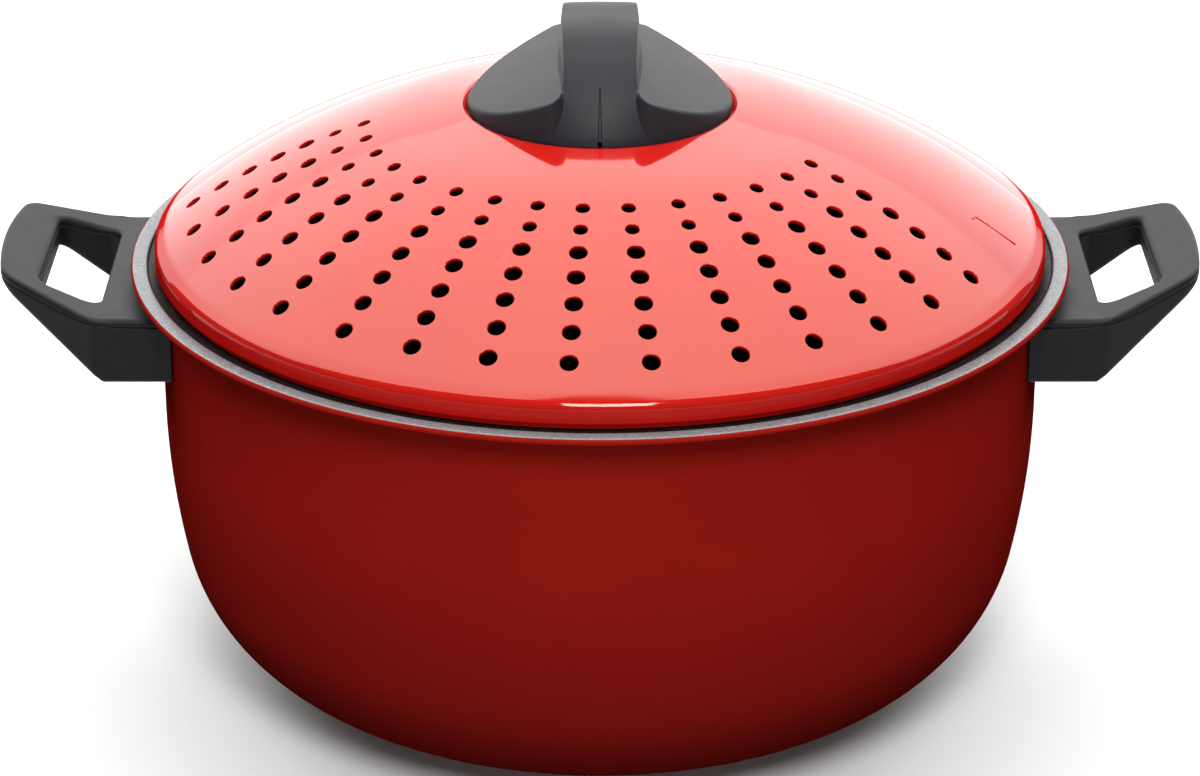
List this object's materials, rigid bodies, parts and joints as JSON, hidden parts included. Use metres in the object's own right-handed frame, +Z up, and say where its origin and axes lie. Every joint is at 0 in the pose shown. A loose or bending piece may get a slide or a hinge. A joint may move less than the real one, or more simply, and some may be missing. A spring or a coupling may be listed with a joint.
{
  "type": "pasta pot with strainer lid",
  "caption": "Round two-handled pasta pot with a domed strainer lid that lifts off and turns to catch on the pot, so that water can be poured off.",
  "frame": {"origin": "centre of the pot's underside, on the surface it stands on", "axes": "+Z up along the pot's axis, +X along the line through both handles, -Y towards the front, where the strainer holes are"},
  "size_m": [0.33, 0.2592, 0.1907],
  "materials": {
    "red_enamel": "deep red gloss enamel",
    "lid_enamel": "bright red gloss enamel",
    "lining": "dark satin non-stick coating",
    "rim": "grey satin coating with fine sparkle on the rim's top",
    "handle_plastic": "dark grey soft-touch moulding",
    "knob_plastic": "dark grey soft-touch moulding",
    "steel": "plain stainless steel"
  },
  "bodies": {
    "pot": {"pot_body": "red_enamel", "base_disc": "steel", "right_handle": "handle_plastic", "right_handle_bracket": "steel", "right_handle_washer": "steel", "right_handle_screw": "steel", "left_handle": "handle_plastic", "left_handle_bracket": "steel", "left_handle_washer": "steel", "left_handle_screw": "steel"},
    "lid_carrier": {"knob_washer": "steel"},
    "lid": {"lid_shell": "lid_enamel", "lid_knob": "knob_plastic", "knob_insert": "steel", "knob_screw": "steel", "right_lock_tab": "steel", "left_lock_tab": "steel"}
  },
  "joints": [
    {"name": "lid_lift", "type": "slide", "parent": "pot", "child": "lid_carrier", "axis": [0, 0, 1], "range_m": [0, 0.15]},
    {"name": "lid_turn", "type": "hinge", "parent": "lid_carrier", "child": "lid", "pos_m": [0, 0, 0.1203], "axis": [0, 0, 1], "range_deg": [0, 14.5]}
  ]
}
